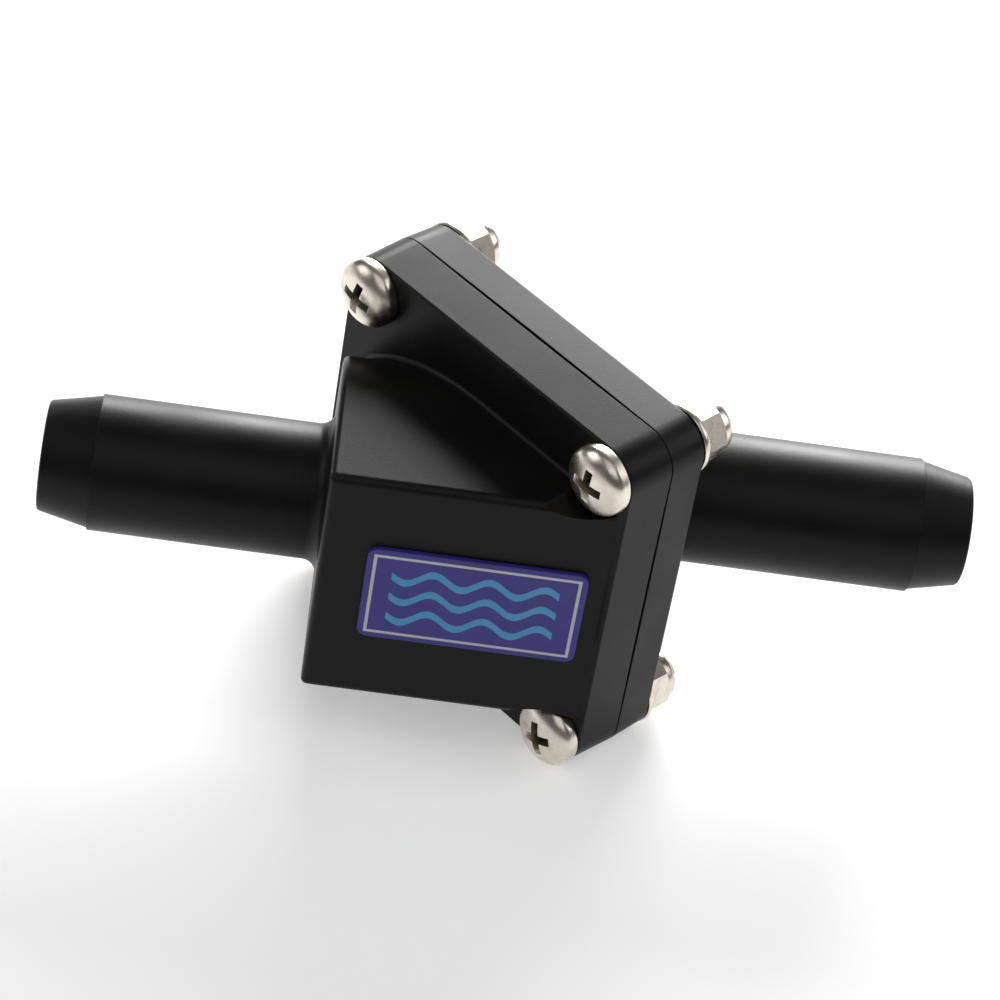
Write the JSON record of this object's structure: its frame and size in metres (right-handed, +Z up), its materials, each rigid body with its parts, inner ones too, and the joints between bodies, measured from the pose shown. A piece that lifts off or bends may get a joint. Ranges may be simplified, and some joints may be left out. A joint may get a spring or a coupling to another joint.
{
  "type": "check valve",
  "caption": "In-line flap check valve: two black moulded halves bolted on a slanted square flange, a straight hose tail on each, and a hinged rubber flap that lets water through one way.",
  "frame": {"origin": "on the plane of the flange's foot, under the middle of the valve's box", "axes": "+X along the hose tails towards the inlet, +Y from the labelled flat to the back, +Z up from the flange's foot; the flap's hinge is parallel to Z"},
  "size_m": [0.1298, 0.0554, 0.0569],
  "materials": {
    "black_plastic": "satin moulded",
    "rubber": "matt",
    "stainless": "polished",
    "brass": "turned",
    "nylon": "natural",
    "label": "printed film"
  },
  "bodies": {
    "housing": {"outlet_body": "black_plastic", "inlet_body": "black_plastic", "flap_gasket": "rubber", "flange_screw_top_back": "stainless", "flange_screw_top_front": "stainless", "flange_screw_bottom_front": "stainless", "flange_screw_bottom_back": "stainless", "flange_washer_top_back": "stainless", "flange_washer_top_front": "stainless", "flange_washer_bottom_front": "stainless", "flange_washer_bottom_back": "stainless", "lock_nut_top_back": "stainless", "lock_nut_top_front": "stainless", "lock_nut_bottom_front": "stainless", "lock_nut_bottom_back": "stainless", "nut_insert_top_back": "nylon", "nut_insert_top_front": "nylon", "nut_insert_bottom_front": "nylon", "nut_insert_bottom_back": "nylon", "label_plate": "label"},
    "flap": {"flap": "rubber", "flap_weight": "brass", "flap_backing": "stainless", "flap_rivet": "stainless"}
  },
  "joints": [
    {"name": "flap_swing", "type": "hinge", "parent": "housing", "child": "flap", "pos_m": [0.0089, -0.01033, 0.02845], "axis": [0, 0, 1], "range_deg": [0, 55], "stiffness_Nm_per_rad": 0.002}
  ]
}
